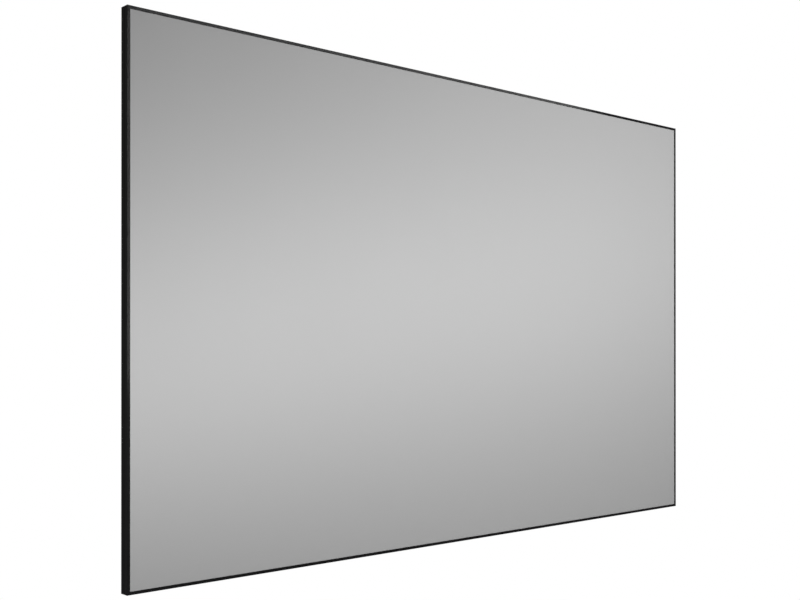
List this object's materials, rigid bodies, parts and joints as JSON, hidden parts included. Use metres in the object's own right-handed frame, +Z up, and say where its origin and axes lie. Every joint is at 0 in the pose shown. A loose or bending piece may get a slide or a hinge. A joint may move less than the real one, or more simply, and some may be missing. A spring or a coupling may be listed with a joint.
{
  "type": "projector screen",
  "caption": "Wall-hung fixed-frame projector screen with a grey film sprung over aluminium rails and a thin black bezel.",
  "frame": {"origin": "middle of the whole object, wall brackets included", "axes": "+X along the screen's width, +Y from the picture to the wall, +Z up; the picture faces -Y"},
  "size_m": [2.17, 0.0316, 1.362],
  "materials": {
    "film": "matte grey film with fine level ridges",
    "trim": "satin black anodised aluminium",
    "border": "matte black coated fabric",
    "rail": "matte black anodised aluminium extrusion",
    "rod": "pale fibreglass rod",
    "spring": "bright spring wire",
    "plate": "zinc-plated steel",
    "bar": "mill-finish aluminium tube",
    "wall_bracket": "powder-coated black steel"
  },
  "bodies": {
    "root": {"screen_film": "film", "bezel_trim_top": "trim", "bezel_trim_bottom": "trim", "bezel_trim_left": "trim", "bezel_trim_right": "trim", "border_top": "border", "border_bottom": "border", "border_left": "border", "border_right": "border", "tension_rod_top": "rod", "tension_rod_bottom": "rod", "tension_rod_left": "rod", "tension_rod_right": "rod", "rail_top_left": "rail", "rail_top_right": "rail", "rail_bottom_left": "rail", "rail_bottom_right": "rail", "rail_left": "rail", "rail_right": "rail", "corner_bracket_top_left": "plate", "corner_bracket_top_right": "plate", "corner_bracket_bottom_left": "plate", "corner_bracket_bottom_right": "plate", "splice_plate_top": "plate", "splice_plate_bottom": "plate", "support_bar": "bar", "bar_bracket_top": "plate", "bar_bracket_bottom": "plate", "wall_bracket_top_left": "wall_bracket", "wall_bracket_top_right": "wall_bracket", "wall_bracket_bottom_left": "wall_bracket", "wall_bracket_bottom_right": "wall_bracket", "tension_spring_top_1": "spring", "tension_spring_top_2": "spring", "tension_spring_top_3": "spring", "tension_spring_top_4": "spring", "tension_spring_top_5": "spring", "tension_spring_top_6": "spring", "tension_spring_top_7": "spring", "tension_spring_bottom_1": "spring", "tension_spring_bottom_2": "spring", "tension_spring_bottom_3": "spring", "tension_spring_bottom_4": "spring", "tension_spring_bottom_5": "spring", "tension_spring_bottom_6": "spring", "tension_spring_bottom_7": "spring", "tension_spring_left_1": "spring", "tension_spring_left_2": "spring", "tension_spring_left_3": "spring", "tension_spring_left_4": "spring", "tension_spring_right_1": "spring", "tension_spring_right_2": "spring", "tension_spring_right_3": "spring", "tension_spring_right_4": "spring"}
  },
  "joints": []
}
